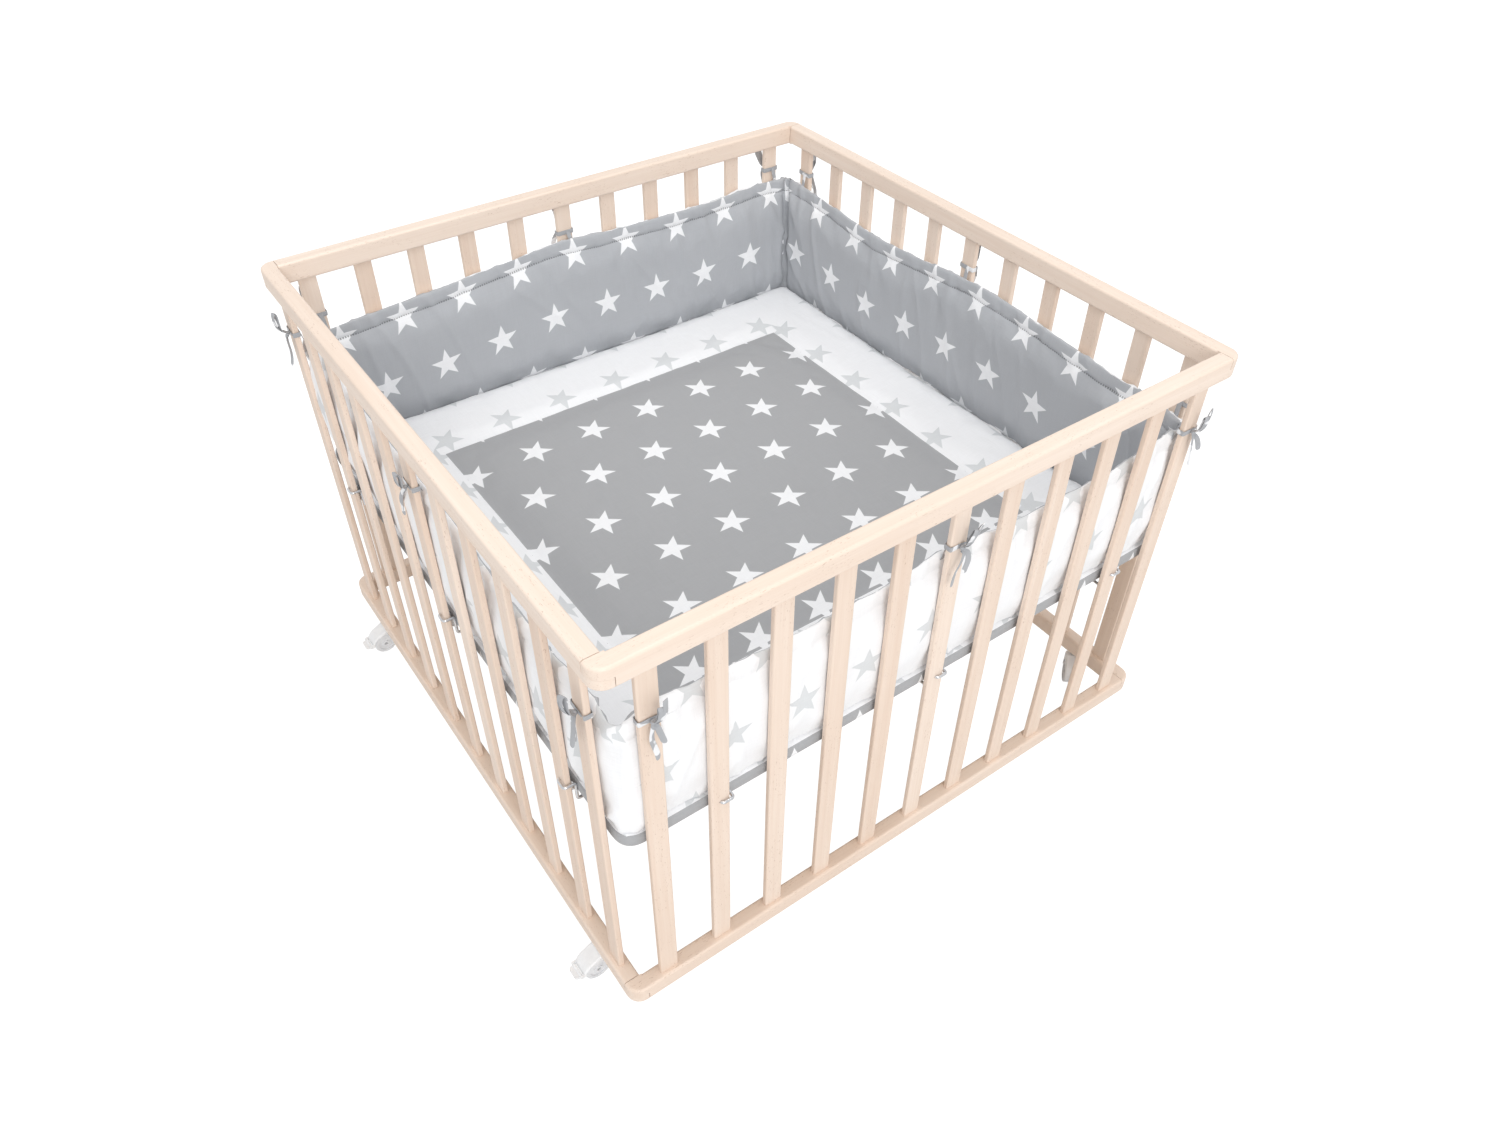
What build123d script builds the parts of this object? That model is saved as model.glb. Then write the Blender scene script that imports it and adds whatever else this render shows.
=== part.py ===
"""Square slatted playpen on casters, with a padded insert tied to its slats.

X runs along the front panel, Y from front to back and +Z is up. The origin is on the floor
under the middle of the pen. Lengths are in millimetres.

The four panels are the same panel, turned a quarter each time. Every panel carries the upper
half of the lap joint on its left end, seen from outside, and the lower half on its right end.
"""
import os
from math import cos, radians, sin

from build123d import *

# ---- driving dimensions -------------------------------------------------------------------
SIDE = 1020.0             # outside width and depth of the pen
TOTAL_HEIGHT = 740.0      # floor to the top of the top rail
CASTER_HEIGHT = 58.0      # floor to the underside of the bottom rail

RAIL_WIDTH = 24.0
TOP_RAIL_HEIGHT = 33.0
BOTTOM_RAIL_HEIGHT = 31.0
EDGE_ROUND = 4.0          # round along the rails' long edges
CORNER_ROUND = 21.0       # round of the pen's corners, seen from above
LAP_GAP = 0.9             # shoulder gap that shows as a fine dark line
LAP_PLAY = 0.2            # gap between the two halves of the lap

SLAT_COUNT = 11
SLAT_PITCH = 89.3
SLAT_WIDTH = 28.0
SLAT_THICK = 9.0
SLAT_ROUND = 2.5
TENON = 12.0              # how deep a slat stands in each rail
HOOK_SLATS = (2, 6, 10)   # slats with a hole for a support hook
TIE_SLATS = (1, 6, 11)    # slats that the insert is tied to

WIRE_RADIUS = 2.2
HOOK_HEIGHT = 405.0       # level of the hook outside the slat
HOOK_REACH = 35.0         # how far the hook's legs reach under the board

BOARD_TOP = 384.0
BOARD_THICK = 8.0
BOARD_SIDE = 946.0
MAT_SIDE = 972.0
MAT_EDGE = 22.0           # thickness of the mat's visible edge
MAT_CENTRE = 40.0         # thickness of the mat inside the bumpers
BUMPER_THICK = 15.0
BUMPER_TOP = 636.0
TIE_LEVEL = 636.0
LIFT = 35.0               # how far the base lifts off its hooks inside the pen

CASTER_FROM_END = 112.0   # swivel axis to the pen's front or back face
WHEEL_RADIUS = 20.0
WHEEL_WIDTH = 10.5
TRAIL = 16.0              # wheel centre behind the swivel axis
HOOD_RADIUS = 24.0
HOOD_WIDTH = 30.0
HOOD_TOP = -6.0           # flat land round the stem, below the rail
PEDAL_REACH = 36.0        # pedal tip to the wheel centre

# ---- worked out from them -----------------------------------------------------------------
HALF = SIDE / 2
INNER = HALF - RAIL_WIDTH                  # inner face of the rails
RAIL_Y = -(HALF - RAIL_WIDTH / 2)          # middle of the front panel
SHOULDER = INNER - LAP_GAP
TOP_RAIL_UNDER = TOTAL_HEIGHT - TOP_RAIL_HEIGHT
BOTTOM_RAIL_TOP = CASTER_HEIGHT + BOTTOM_RAIL_HEIGHT
SLAT_OUT = RAIL_Y - SLAT_THICK / 2         # outer face of the slats
SLAT_IN = RAIL_Y + SLAT_THICK / 2
MAT_HALF = MAT_SIDE / 2
BUMPER_FOOT = BOARD_TOP + MAT_EDGE
CORNER = HALF - RAIL_WIDTH / 2             # middle of the corner joints
SIDES = ("front", "right", "back", "left")


def slat_x(number):
    """Middle of a slat along its panel, numbered from the panel's left end."""
    return (number - (SLAT_COUNT + 1) / 2) * SLAT_PITCH


def turned(piece, quarters):
    """The piece turned about the middle of the pen, onto another side."""
    with BuildPart() as copy:
        with Locations(Location((0, 0, 0), (0, 0, 90 * quarters))):
            add(piece)
    return copy.part


def save(piece, name):
    """Labels a finished piece and writes it to its own STEP file."""
    piece.label = name
    export_step(piece, f"parts/{name}.step")


os.makedirs("parts", exist_ok=True)


# ---- rails --------------------------------------------------------------------------------
def lap_tab(side, low, high, outer_level):
    """Half of a corner lap: side is -1 for the left end, outer_level is the rounded face."""
    with BuildPart() as tab:
        with BuildSketch(Plane.XY.offset(low)) as plan:
            length = HALF - SHOULDER + 2
            with Locations((side * (HALF - length / 2), RAIL_Y)):
                Rectangle(length, RAIL_WIDTH)
            outer = plan.vertices().sort_by(Axis.Y)[:2].sort_by(Axis.X)
            fillet(outer[0 if side < 0 else -1], CORNER_ROUND)
        extrude(amount=high - low)
        rim = tab.edges().filter_by(lambda e: abs(e.center().Z - outer_level) < 0.01)
        outside = rim.filter_by(lambda e: side * e.center().X - e.center().Y > 2 * HALF - 30)
        fillet(outside, EDGE_ROUND)
    return tab.part


def panel_rail(low, high, slat_side):
    """A rail of the front panel. slat_side is the level of the face that holds the slats."""
    middle = (low + high) / 2
    with BuildPart() as rail:
        with BuildSketch(Plane.YZ.offset(-SHOULDER)):
            with Locations((RAIL_Y, middle)):
                RectangleRounded(RAIL_WIDTH, high - low, EDGE_ROUND)
        extrude(amount=2 * SHOULDER)
        add(lap_tab(-1, middle + LAP_PLAY / 2, high, high))
        add(lap_tab(1, low, middle - LAP_PLAY / 2, low))
        # mortises for the slats
        depth = TENON + 0.5
        start = slat_side if slat_side == low else slat_side - depth
        with BuildSketch(Plane.XY.offset(start)):
            with Locations([(slat_x(n), RAIL_Y) for n in range(1, SLAT_COUNT + 1)]):
                RectangleRounded(SLAT_WIDTH + 0.2, SLAT_THICK + 0.2, SLAT_ROUND + 0.1)
        extrude(amount=depth, mode=Mode.SUBTRACT)
        # insert nut in the upper tab, bolt hole with a sunk head in the lower one
        with Locations((-CORNER, RAIL_Y, middle)):
            Cylinder(5.0, 11, align=(Align.CENTER, Align.CENTER, Align.MIN), mode=Mode.SUBTRACT)
        with Locations((CORNER, RAIL_Y, low)):
            Cylinder(3.3, high - low, align=(Align.CENTER, Align.CENTER, Align.MIN),
                     mode=Mode.SUBTRACT)
            Cylinder(6.0, 5, align=(Align.CENTER, Align.CENTER, Align.MIN), mode=Mode.SUBTRACT)
    return rail.part


top_rail = panel_rail(TOP_RAIL_UNDER, TOTAL_HEIGHT, TOP_RAIL_UNDER)
bottom_rail = panel_rail(CASTER_HEIGHT, BOTTOM_RAIL_TOP, BOTTOM_RAIL_TOP)

# Swivel axis and the direction in which each caster trails, in degrees.
CASTER_X = CORNER
CASTER_Y = HALF - CASTER_FROM_END
CASTERS = {
    "front_left": (-CASTER_X, -CASTER_Y, 180, True),
    "back_left": (-CASTER_X, CASTER_Y, 180, True),
    "front_right": (CASTER_X, -CASTER_Y, 225, False),
    "back_right": (CASTER_X, CASTER_Y, 0, False),
}
SOCKET_RADIUS = 5.5
SOCKET_DEPTH = 25.0
STEM_RADIUS = 4.0

for turn, side in enumerate(SIDES):
    save(turned(top_rail, turn), f"{side}_top_rail")
    with BuildPart() as drilled_rail:
        add(turned(bottom_rail, turn))
        if side in ("left", "right"):
            x = -CASTER_X if side == "left" else CASTER_X
            with Locations((x, -CASTER_Y, CASTER_HEIGHT), (x, CASTER_Y, CASTER_HEIGHT)):
                Cylinder(SOCKET_RADIUS + 0.05, SOCKET_DEPTH + 1,
                         align=(Align.CENTER, Align.CENTER, Align.MIN), mode=Mode.SUBTRACT)
    save(drilled_rail.part, f"{side}_bottom_rail")


# ---- slats --------------------------------------------------------------------------------
def slats(numbers, drilled):
    """Upright slats of the front panel, each with its wide face outwards."""
    with BuildPart() as uprights:
        with BuildSketch(Plane.XY.offset(BOTTOM_RAIL_TOP - TENON)):
            with Locations([(slat_x(n), RAIL_Y) for n in numbers]):
                RectangleRounded(SLAT_WIDTH, SLAT_THICK, SLAT_ROUND)
        extrude(amount=TOP_RAIL_UNDER - BOTTOM_RAIL_TOP + 2 * TENON)
        if drilled:
            with Locations([(slat_x(n), RAIL_Y, HOOK_HEIGHT) for n in numbers]):
                Cylinder(WIRE_RADIUS + 0.3, 2 * SLAT_THICK, rotation=(90, 0, 0),
                         mode=Mode.SUBTRACT)
    return uprights.part


plain_numbers = [n for n in range(1, SLAT_COUNT + 1) if n not in HOOK_SLATS]
plain_slats = slats(plain_numbers, drilled=False)
hook_slats = slats(HOOK_SLATS, drilled=True)


# ---- support hooks ------------------------------------------------------------------------
HOOK_OUT = SLAT_OUT - WIRE_RADIUS - 1.3              # the bar in front of the slat
HOOK_IN = SLAT_IN + WIRE_RADIUS + 1.5                # the legs behind the slat
HOOK_FOOT = BOARD_TOP - BOARD_THICK - WIRE_RADIUS - 0.4
HOOK_SPAN = SLAT_WIDTH / 2 + WIRE_RADIUS + 1.0       # hole to the leg beside the slat
HOOK_BEND = 4.0

with BuildPart() as support_hooks:
    for n in HOOK_SLATS:
        x = slat_x(n)
        with BuildLine() as wire:
            FilletPolyline(
                (x, HOOK_IN + HOOK_REACH, HOOK_FOOT),
                (x, HOOK_IN, HOOK_FOOT),
                (x, HOOK_IN, HOOK_HEIGHT),
                (x, HOOK_OUT, HOOK_HEIGHT),
                (x + HOOK_SPAN, HOOK_OUT, HOOK_HEIGHT),
                (x + HOOK_SPAN, HOOK_IN, HOOK_HEIGHT),
                (x + HOOK_SPAN, HOOK_IN, HOOK_FOOT),
                (x + HOOK_SPAN, HOOK_IN + HOOK_REACH, HOOK_FOOT),
                radius=HOOK_BEND,
            )
        with BuildSketch(Plane(origin=wire.line @ 0, z_dir=wire.line % 0)):
            Circle(WIRE_RADIUS)
        sweep(path=wire.line)

for turn, side in enumerate(SIDES):
    save(turned(plain_slats, turn), f"{side}_plain_slats")
    save(turned(hook_slats, turn), f"{side}_hook_slats")
    save(turned(support_hooks.part, turn), f"{side}_support_hooks")


# ---- corner fasteners ---------------------------------------------------------------------
def corner_bolts(low, high):
    """Four bolts, one up through each corner lap, with a socket in the sunk head."""
    middle = (low + high) / 2
    with BuildPart() as bolts:
        with Locations([(sx * CORNER, sy * CORNER, low + 0.5) for sx in (-1, 1) for sy in (-1, 1)]):
            Cylinder(5.5, 4, align=(Align.CENTER, Align.CENTER, Align.MIN))
            Cylinder(3.0, middle + 9 - low, align=(Align.CENTER, Align.CENTER, Align.MIN))
        with BuildSketch(Plane.XY.offset(low + 0.5)):
            with Locations([(sx * CORNER, sy * CORNER) for sx in (-1, 1) for sy in (-1, 1)]):
                RegularPolygon(2.3, 6)
        extrude(amount=2.5, mode=Mode.SUBTRACT)
    return bolts.part


save(corner_bolts(TOP_RAIL_UNDER, TOTAL_HEIGHT), "top_corner_bolts")
save(corner_bolts(CASTER_HEIGHT, BOTTOM_RAIL_TOP), "bottom_corner_bolts")

with BuildPart() as insert_nuts:
    for middle in ((CASTER_HEIGHT + BOTTOM_RAIL_TOP) / 2, (TOP_RAIL_UNDER + TOTAL_HEIGHT) / 2):
        with Locations([(sx * CORNER, sy * CORNER, middle + 0.3) for sx in (-1, 1) for sy in (-1, 1)]):
            Cylinder(4.98, 10, align=(Align.CENTER, Align.CENTER, Align.MIN))
            Cylinder(3.05, 10, align=(Align.CENTER, Align.CENTER, Align.MIN), mode=Mode.SUBTRACT)
save(insert_nuts.part, "corner_insert_nuts")

# ---- base board ---------------------------------------------------------------------------
BATTEN_Y = 250.0
BATTEN_THICK = 12.0
SCREW_X = (-300.0, -60.0, 60.0, 300.0)
SCREW_PLACES = [(x, y) for x in SCREW_X for y in (-BATTEN_Y, BATTEN_Y)]
BOARD_UNDER = BOARD_TOP - BOARD_THICK

for side, sign in (("left", -1), ("right", 1)):
    with BuildPart() as half_board:
        with BuildSketch(Plane.XY.offset(BOARD_UNDER)) as outline:
            width = BOARD_SIDE / 2 - 0.5
            with Locations((sign * (0.5 + width / 2), 0)):
                Rectangle(width, BOARD_SIDE)
            corners = outline.vertices().sort_by(Axis.X)
            fillet(corners[:2] if sign < 0 else corners[-2:], 12)
        extrude(amount=BOARD_THICK)
        pilots = [(x, y, BOARD_UNDER) for x, y in SCREW_PLACES if x * sign > 0]
        with Locations(pilots):
            Cylinder(1.95, 6.5, align=(Align.CENTER, Align.CENTER, Align.MIN), mode=Mode.SUBTRACT)
    save(half_board.part, f"{side}_base_board")

with BuildPart() as battens:
    with Locations((0, -BATTEN_Y, BOARD_UNDER - BATTEN_THICK), (0, BATTEN_Y, BOARD_UNDER - BATTEN_THICK)):
        Box(720, 40, BATTEN_THICK, align=(Align.CENTER, Align.CENTER, Align.MIN))
    fillet(battens.edges().group_by(Axis.Z)[0], 2)
    with Locations([(x, y, BOARD_UNDER) for x, y in SCREW_PLACES]):
        Cylinder(2.1, 2 * BATTEN_THICK + 1, mode=Mode.SUBTRACT)
    with Locations([(x, y, BOARD_UNDER - BATTEN_THICK) for x, y in SCREW_PLACES]):
        Cone(4.2, 1.9, 2.4, align=(Align.CENTER, Align.CENTER, Align.MIN), mode=Mode.SUBTRACT)
save(battens.part, "base_battens")

with BuildPart() as base_screws:
    with Locations([(x, y, BOARD_UNDER - BATTEN_THICK + 0.1) for x, y in SCREW_PLACES]):
        Cone(3.9, 1.9, 2.1, align=(Align.CENTER, Align.CENTER, Align.MIN))
        Cylinder(1.9, 18, align=(Align.CENTER, Align.CENTER, Align.MIN))
save(base_screws.part, "base_screws")

# ---- padded insert ------------------------------------------------------------------------
with BuildPart() as mat:
    with BuildSketch(Plane.XY.offset(BOARD_TOP)):
        RectangleRounded(MAT_SIDE, MAT_SIDE, 26)
    extrude(amount=MAT_EDGE)
    fillet(mat.edges().group_by(Axis.Z)[0], 6)
    with BuildSketch(Plane.XY.offset(BOARD_TOP + MAT_EDGE)):
        RectangleRounded(MAT_SIDE - 2 * BUMPER_THICK - 2, MAT_SIDE - 2 * BUMPER_THICK - 2, 14)
    extrude(amount=MAT_CENTRE - MAT_EDGE)
    fillet(mat.edges().group_by(Axis.Z)[-1], 5)
save(mat.part, "mat")

with BuildPart() as bumper:
    with BuildSketch(Plane.XY.offset(BUMPER_FOOT)) as plan:
        length = MAT_SIDE - BUMPER_THICK - 0.3
        with Locations((-MAT_HALF + length / 2, -MAT_HALF + BUMPER_THICK / 2)):
            Rectangle(length, BUMPER_THICK)
        fillet(plan.vertices().group_by(Axis.Y)[0].sort_by(Axis.X)[0], 12)
    extrude(amount=BUMPER_TOP - BUMPER_FOOT)
    fillet(bumper.edges().group_by(Axis.Z)[-1], 4)

RIBBON = 1.2              # thickness of a doubled ribbon
RIBBON_WIDTH = 12.0
BOW_WIDTH = 30.0
BOW_HEIGHT = 44.0
BOW_THICK = 4.4
TIE_PLAY = 0.6            # ribbon loop to the slat
with BuildPart() as ties:
    loop_low = TIE_LEVEL - RIBBON_WIDTH / 2
    with BuildSketch(Plane.XY.offset(loop_low)):
        with Locations([(slat_x(n), RAIL_Y) for n in TIE_SLATS]):
            RectangleRounded(SLAT_WIDTH + 2 * TIE_PLAY + 2 * RIBBON,
                             SLAT_THICK + 2 * TIE_PLAY + 2 * RIBBON, SLAT_ROUND + RIBBON)
            RectangleRounded(SLAT_WIDTH + 2 * TIE_PLAY, SLAT_THICK + 2 * TIE_PLAY, SLAT_ROUND,
                             mode=Mode.SUBTRACT)
    extrude(amount=RIBBON_WIDTH)
    strap_from = SLAT_IN + TIE_PLAY + RIBBON / 2
    strap = -MAT_HALF - strap_from
    with Locations([(slat_x(n), strap_from + strap / 2, TIE_LEVEL - 4) for n in TIE_SLATS]):
        Box(10, strap, 8)
    bow_y = SLAT_OUT - TIE_PLAY - RIBBON / 2 - BOW_THICK / 2
    with BuildSketch(Plane.XZ.offset(-bow_y - BOW_THICK / 2)):
        with Locations([(slat_x(n), TIE_LEVEL - 8) for n in TIE_SLATS]):
            RectangleRounded(BOW_WIDTH, BOW_HEIGHT, 9)
    extrude(amount=BOW_THICK)

for turn, side in enumerate(SIDES):
    save(turned(bumper.part, turn), f"{side}_bumper")
    save(turned(ties.part, turn), f"{side}_ties")

# ---- casters ------------------------------------------------------------------------------
# One caster is drawn about its swivel axis, with the rail's underside at height 0 and the
# wheels trailing towards -X. It is then turned and placed four times.
AXLE_Z = -(CASTER_HEIGHT - WHEEL_RADIUS)
AXLE_RADIUS = 3.0
WEB = 3.0                 # half thickness of the hood's middle web
WHEEL_GAP = 0.6
PEDAL_X = -TRAIL - HOOD_RADIUS - 3.0
PEDAL_Z = AXLE_Z + 5.0
PEDAL_HALF = 11.0
PIVOT = 2.2               # radius of the pedal's barrel
side_plane = Plane.XZ     # its normal points to -Y

with BuildPart() as socket:
    Cylinder(SOCKET_RADIUS, SOCKET_DEPTH, align=(Align.CENTER, Align.CENTER, Align.MIN))
    Cylinder(8.0, 1.5, align=(Align.CENTER, Align.CENTER, Align.MAX))
    Cylinder(STEM_RADIUS + 0.05, 80, mode=Mode.SUBTRACT)

with BuildPart() as stem:
    with Locations((0, 0, -13)):
        Cylinder(STEM_RADIUS, 37, align=(Align.CENTER, Align.CENTER, Align.MIN))
    with Locations((0, 0, HOOD_TOP)):
        Cylinder(7.0, 3.0, align=(Align.CENTER, Align.CENTER, Align.MIN))
    chamfer(stem.edges().group_by(Axis.Z)[-1], 0.8)


def hood(with_pedal):
    """Dome over both wheels with a web between them, open at the sides and below."""
    with BuildPart() as shell:
        with BuildSketch(side_plane.offset(-HOOD_WIDTH / 2)):
            with BuildLine():
                CenterArc((-TRAIL, AXLE_Z), HOOD_RADIUS, 0, 360)
                CenterArc((0, -13), 9.0, 0, 360)
            make_hull()
        extrude(amount=HOOD_WIDTH)
        outline = shell.edges().filter_by(lambda e: abs(abs(e.center().Y) - HOOD_WIDTH / 2) < 0.01)
        fillet(outline, 3.0)
        # wheel spaces, open to the sides
        for sign in (-1, 1):
            offset = WEB if sign < 0 else -WEB - HOOD_WIDTH
            with BuildSketch(side_plane.offset(offset)):
                with Locations((-TRAIL, AXLE_Z)):
                    Circle(WHEEL_RADIUS + 1.5)
            extrude(amount=HOOD_WIDTH, mode=Mode.SUBTRACT)
        # open below: the rim ends lower behind than in front
        with BuildSketch(side_plane.offset(-HOOD_WIDTH / 2)):
            with Locations(Location((-TRAIL, AXLE_Z), -8)):
                with Locations((0, -25)):
                    Rectangle(80, 50)
                with Locations((0, 0)):
                    Circle(11, mode=Mode.SUBTRACT)
        extrude(amount=HOOD_WIDTH, mode=Mode.SUBTRACT)
        # flat top under the stem's collar, and the two bores
        with Locations((0, 0, HOOD_TOP)):
            Box(60, 60, 30, align=(Align.CENTER, Align.CENTER, Align.MIN), mode=Mode.SUBTRACT)
        Cylinder(STEM_RADIUS + 0.02, 2 * 13.3, mode=Mode.SUBTRACT)
        with Locations((-TRAIL, 0, AXLE_Z)):
            Cylinder(AXLE_RADIUS + 0.02, 40, rotation=(90, 0, 0), mode=Mode.SUBTRACT)
        if with_pedal:
            for y in (-HOOD_WIDTH / 2 + 3.2, HOOD_WIDTH / 2):
                with BuildSketch(side_plane.offset(-y)):
                    with Locations((PEDAL_X, PEDAL_Z)):
                        Circle(PIVOT + 0.6)
                    with Locations((PEDAL_X + 3.4, PEDAL_Z)):
                        Rectangle(5.2, 2 * PIVOT + 1.2)
                extrude(amount=3.2)
            with Locations((PEDAL_X, 0, PEDAL_Z)):
                Cylinder(1.25, 40, rotation=(90, 0, 0), mode=Mode.SUBTRACT)
    return shell.part


with BuildPart() as axle:
    with Locations((-TRAIL, 0, AXLE_Z)):
        Cylinder(AXLE_RADIUS, HOOD_WIDTH - 3, rotation=(90, 0, 0))
    chamfer(axle.edges().filter_by(GeomType.CIRCLE), 0.5)


def wheel(sign):
    """One wheel: rounded tread, a dished outer face and a hub round the axle."""
    inner = sign * (WEB + WHEEL_GAP)
    with BuildPart() as disc:
        middle = (-TRAIL, inner + sign * WHEEL_WIDTH / 2, AXLE_Z)
        with Locations(middle):
            Cylinder(WHEEL_RADIUS, WHEEL_WIDTH, rotation=(90, 0, 0))
        fillet(disc.edges().filter_by(GeomType.CIRCLE), 2.2)
        with Locations((-TRAIL, inner + sign * WHEEL_WIDTH, AXLE_Z)):
            Cylinder(13.5, 3.2, rotation=(90, 0, 0), mode=Mode.SUBTRACT)
        with Locations((-TRAIL, inner + sign * (WHEEL_WIDTH - 1.5), AXLE_Z)):
            Cylinder(6.5, 3.0, rotation=(90, 0, 0))
        with Locations(middle):
            Cylinder(AXLE_RADIUS + 0.05, 3 * WHEEL_WIDTH, rotation=(90, 0, 0), mode=Mode.SUBTRACT)
    return disc.part


with BuildPart() as pedal:
    with Locations((PEDAL_X, 0, PEDAL_Z)):
        Cylinder(PIVOT, 2 * PEDAL_HALF, rotation=(90, 0, 0))
        Cylinder(1.2, HOOD_WIDTH - 1, rotation=(90, 0, 0))
    with BuildSketch(Plane.XY.offset(PEDAL_Z - 4.2)) as paddle:
        reach = -TRAIL - PEDAL_REACH
        with Locations(((PEDAL_X - 1 + reach) / 2, 0)):
            Rectangle(PEDAL_X - 1 - reach, 2 * PEDAL_HALF)
        fillet(paddle.vertices().group_by(Axis.X)[0], 4)
    extrude(amount=4.2)


def placed(piece, place):
    """A caster piece turned to its trail direction and put under its rail."""
    x, y, trail_angle, _ = place
    with BuildPart() as copy:
        with Locations(Location((x, y, CASTER_HEIGHT), (0, 0, trail_angle - 180))):
            add(piece)
    return copy.part


with BuildPart() as sockets:
    for place in CASTERS.values():
        add(placed(socket.part, place))
save(sockets.part, "caster_sockets")

for name, place in CASTERS.items():
    has_brake = place[3]
    save(placed(stem.part, place), f"{name}_caster_stem")
    save(placed(hood(has_brake), place), f"{name}_caster_hood")
    save(placed(axle.part, place), f"{name}_caster_axle")
    save(placed(wheel(-1), place), f"{name}_caster_wheel_a")
    save(placed(wheel(1), place), f"{name}_caster_wheel_b")
    if has_brake:
        save(placed(pedal.part, place), f"{name}_brake_pedal")
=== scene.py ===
# %% [markdown]
# # A slatted playpen with a star-print insert
#
# The wooden frame, the wire hooks, the casters and the base board are exact parts that come
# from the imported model. Their shapes stay as they are and get finishes here. What a solid
# modeller draws badly is made here instead: the quilted mat, the padded bumper that runs
# round it, and the ribbon bows that tie it to the slats.
#
# All lengths are in metres, +Z is up, and the front panel faces -Y.

# %% Load the frame
from math import cos, exp, hypot, pi, sin

import bpy
import bmesh
from mathutils import Matrix, Vector, noise


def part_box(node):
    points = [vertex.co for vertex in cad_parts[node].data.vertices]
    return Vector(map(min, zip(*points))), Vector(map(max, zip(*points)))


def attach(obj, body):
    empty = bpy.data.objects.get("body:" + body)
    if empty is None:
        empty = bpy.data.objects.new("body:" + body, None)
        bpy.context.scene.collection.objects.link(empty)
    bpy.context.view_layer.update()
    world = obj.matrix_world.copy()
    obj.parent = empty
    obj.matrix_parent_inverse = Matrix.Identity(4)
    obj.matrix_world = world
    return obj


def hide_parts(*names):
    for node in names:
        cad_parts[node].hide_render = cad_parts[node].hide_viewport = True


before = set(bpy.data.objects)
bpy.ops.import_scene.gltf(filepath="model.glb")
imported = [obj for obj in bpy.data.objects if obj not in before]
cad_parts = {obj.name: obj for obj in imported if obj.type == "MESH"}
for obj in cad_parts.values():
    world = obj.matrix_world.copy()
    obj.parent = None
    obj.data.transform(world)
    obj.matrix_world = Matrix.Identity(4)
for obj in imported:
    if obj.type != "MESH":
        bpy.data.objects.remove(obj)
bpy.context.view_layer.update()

# %% [markdown]
# ## Sizes read from the frame
#
# The soft pieces have to sit where their plain solids sit, so their sizes are read from
# those solids. The panels repeat at quarter turns, so one list of sides serves for all.

# %% Sizes
mat_low, mat_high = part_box("mat")
slat_low, slat_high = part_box("front_plain_slats")
HALF_MAT = mat_high.x
MAT_UNDER = mat_low.z
MAT_TOP = mat_high.z
BUMPER_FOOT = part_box("front_bumper")[0].z
SLAT_MIDDLE = (slat_low.y + slat_high.y) / 2
SLAT_HALF_THICK = (slat_high.y - slat_low.y) / 2
SLAT_PITCH = 0.0893       # from one slat's middle to the next
SLAT_HALF_WIDTH = 0.014
SIDES = ["front", "right", "back", "left"]
print("mat half side", round(HALF_MAT, 4), "bumper foot", round(BUMPER_FOOT, 4))


# %% [markdown]
# ## Small helpers
#
# An operator acts on everything that is selected, so each helper first clears the selection
# and then picks what it needs by place. A modifier is added, set and applied in one step,
# because the later steps work on the mesh that it leaves.

# %% Helpers for selecting and shaping
def only(piece):
    """Selects this object alone and makes it the active one."""
    bpy.ops.object.select_all(action="DESELECT")
    piece.select_set(True)
    bpy.context.view_layer.objects.active = piece


def pick_edges(piece, test):
    """In edit mode, selects the edges whose middle and run pass the test."""
    bpy.ops.mesh.select_mode(type="EDGE")
    bpy.ops.mesh.select_all(action="DESELECT")
    mesh = bmesh.from_edit_mesh(piece.data)
    for edge in mesh.edges:
        start, end = (v.co for v in edge.verts)
        edge.select_set(test((start + end) / 2, end - start))
    bmesh.update_edit_mesh(piece.data)


def modify(piece, kind, **settings):
    """Adds a modifier with these settings and applies it."""
    only(piece)
    bpy.ops.object.modifier_add(type=kind)
    modifier = piece.modifiers[-1]
    for key, value in settings.items():
        setattr(modifier, key, value)
    bpy.ops.object.modifier_apply(modifier=modifier.name)


def rounded(piece, levels):
    """Divides the faces of a piece, so that its form is round, and shades it smooth."""
    modify(piece, "SUBSURF", levels=levels, render_levels=levels)
    bpy.ops.object.shade_smooth()


def finished(piece, name, body):
    """Puts the place into the mesh, names the piece and gives it a body."""
    only(piece)
    bpy.ops.object.transform_apply(location=True, rotation=True, scale=True)
    piece.name = name
    piece.data.name = name
    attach(piece, body)
    print(name, "has", len(piece.data.polygons), "faces")


print("helpers for selecting and shaping are ready")

# %% [markdown]
# ## The camera
#
# A person holding a camera a little above head height looks down over the near corner, so
# the lens is fairly wide and the uprights lean together towards the floor.

# %% Camera
TURN, TILT, ROLL = 0.6295, -0.7385, 0.0111        # radians
CAMERA_PLACE = (-0.8134, -1.1841, 1.5502)
ahead = Vector((sin(TURN) * cos(TILT), cos(TURN) * cos(TILT), sin(TILT)))
aside = ahead.cross(Vector((0, 0, 1))).normalized()
above = aside.cross(ahead)
across = cos(ROLL) * aside + sin(ROLL) * above
upwards = -sin(ROLL) * aside + cos(ROLL) * above
bpy.ops.object.camera_add()
camera = bpy.context.object
camera.name = "camera"
camera.data.lens = 26.81
camera.data.sensor_width = 36.0
facing = Matrix((across, upwards, -ahead)).transposed().to_4x4()
camera.matrix_world = Matrix.Translation(CAMERA_PLACE) @ facing
bpy.context.scene.camera = camera
print("camera at", tuple(round(v, 3) for v in camera.location))

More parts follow.
